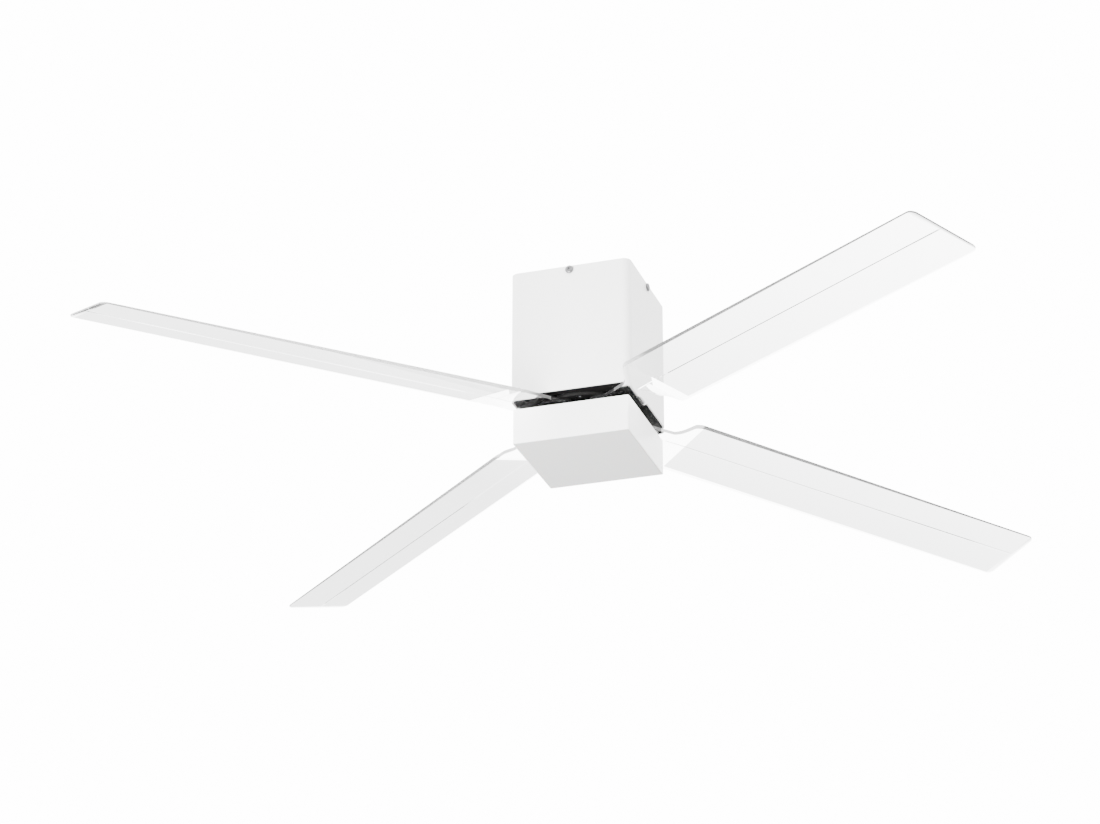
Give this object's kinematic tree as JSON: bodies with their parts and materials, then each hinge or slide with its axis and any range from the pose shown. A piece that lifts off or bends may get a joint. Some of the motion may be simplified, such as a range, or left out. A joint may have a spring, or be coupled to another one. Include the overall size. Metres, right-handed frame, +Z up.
{
  "type": "retractable blade ceiling fan",
  "caption": "White square-bodied ceiling fan with clear straight blades that swing back together on pivots, and a square flat light under them.",
  "frame": {"origin": "middle of the ceiling bracket's upper face, on the fan's turning axis, in the plane of the ceiling", "axes": "+Z up along the turning axis, X and Y square to the body's sides; the fan hangs below the origin"},
  "size_m": [1.0592, 1.0592, 0.2178],
  "materials": {
    "white_paint": "semi-gloss white",
    "black_paint": "satin black",
    "black_cast_metal": "black finished casting",
    "zinc_steel": "zinc plated",
    "bright_steel": "bright",
    "dark_plastic": "matt",
    "pale_plastic": "matt",
    "lamination_steel": "bare laminations",
    "copper_wire": "enamelled wire",
    "magnet_ferrite": "dull",
    "board_white": "solder mask",
    "opal_acrylic": "frosted",
    "lead_sleeve": "satin",
    "clear_acrylic": "clear, polished"
  },
  "bodies": {
    "hanging_body": {"ceiling_bracket": "zinc_steel", "canopy": "white_paint", "canopy_floor": "black_paint", "canopy_screw_1": "bright_steel", "canopy_screw_2": "bright_steel", "canopy_screw_3": "bright_steel", "canopy_screw_4": "bright_steel", "spindle": "bright_steel", "flange_bolt_1": "zinc_steel", "flange_bolt_2": "zinc_steel", "receiver_box": "dark_plastic", "terminal_block": "pale_plastic", "stator_core": "lamination_steel", "stator_windings": "copper_wire", "rotor_nut": "zinc_steel", "light_lock_nut": "zinc_steel", "light_nut": "zinc_steel", "light_clamp_plate": "zinc_steel", "light_housing": "white_paint", "led_tray": "white_paint", "tray_screw_1": "bright_steel", "tray_screw_2": "bright_steel", "tray_screw_3": "bright_steel", "tray_screw_4": "bright_steel", "led_board": "board_white", "led_driver": "pale_plastic", "diffuser": "opal_acrylic", "light_lead": "lead_sleeve"},
    "rotor": {"motor_shell": "black_cast_metal", "magnet_ring": "magnet_ferrite", "upper_bearing": "bright_steel", "lower_bearing": "bright_steel", "rotor_carrier": "black_cast_metal", "carrier_screw_1": "bright_steel", "carrier_screw_2": "bright_steel", "carrier_screw_3": "bright_steel", "carrier_screw_4": "bright_steel", "retainer_plate": "black_paint", "pivot_pin_1": "bright_steel", "pivot_pin_2": "bright_steel", "pivot_pin_3": "bright_steel", "pivot_pin_4": "bright_steel"},
    "sync_gear_body": {"sync_gear": "black_cast_metal"},
    "blade_arm_1": {"blade_1": "clear_acrylic", "blade_hub_1": "black_cast_metal", "blade_screw_1a": "bright_steel", "blade_screw_1b": "bright_steel"},
    "blade_arm_2": {"blade_2": "clear_acrylic", "blade_hub_2": "black_cast_metal", "blade_screw_2a": "bright_steel", "blade_screw_2b": "bright_steel"},
    "blade_arm_3": {"blade_3": "clear_acrylic", "blade_hub_3": "black_cast_metal", "blade_screw_3a": "bright_steel", "blade_screw_3b": "bright_steel"},
    "blade_arm_4": {"blade_4": "clear_acrylic", "blade_hub_4": "black_cast_metal", "blade_screw_4a": "bright_steel", "blade_screw_4b": "bright_steel"}
  },
  "joints": [
    {"name": "rotor_spin", "type": "hinge", "parent": "hanging_body", "child": "rotor", "pos_m": [0, 0, -0.159], "axis": [0, 0, 1], "continuous": true},
    {"name": "blade_swing_1", "type": "hinge", "parent": "rotor", "child": "blade_arm_1", "pos_m": [0.03282, -0.0262, -0.1635], "axis": [0, 0, 1], "range_deg": [0, 45]},
    {"name": "blade_swing_2", "type": "hinge", "parent": "rotor", "child": "blade_arm_2", "pos_m": [0.0262, 0.03282, -0.1635], "axis": [0, 0, 1], "range_deg": [0, 45]},
    {"name": "blade_swing_3", "type": "hinge", "parent": "rotor", "child": "blade_arm_3", "pos_m": [-0.03282, 0.0262, -0.1635], "axis": [0, 0, 1], "range_deg": [0, 45]},
    {"name": "blade_swing_4", "type": "hinge", "parent": "rotor", "child": "blade_arm_4", "pos_m": [-0.0262, -0.03282, -0.1635], "axis": [0, 0, 1], "range_deg": [0, 45]},
    {"name": "sync_turn", "type": "hinge", "parent": "rotor", "child": "sync_gear_body", "pos_m": [0, 0, -0.1635], "axis": [0, 0, 1], "range_deg": [-45, 0]}
  ],
  "couplings": [
    {"joint": "blade_swing_2", "follows": "blade_swing_1", "ratio": 1},
    {"joint": "blade_swing_3", "follows": "blade_swing_1", "ratio": 1},
    {"joint": "blade_swing_4", "follows": "blade_swing_1", "ratio": 1},
    {"joint": "sync_turn", "follows": "blade_swing_1", "ratio": -1}
  ]
}
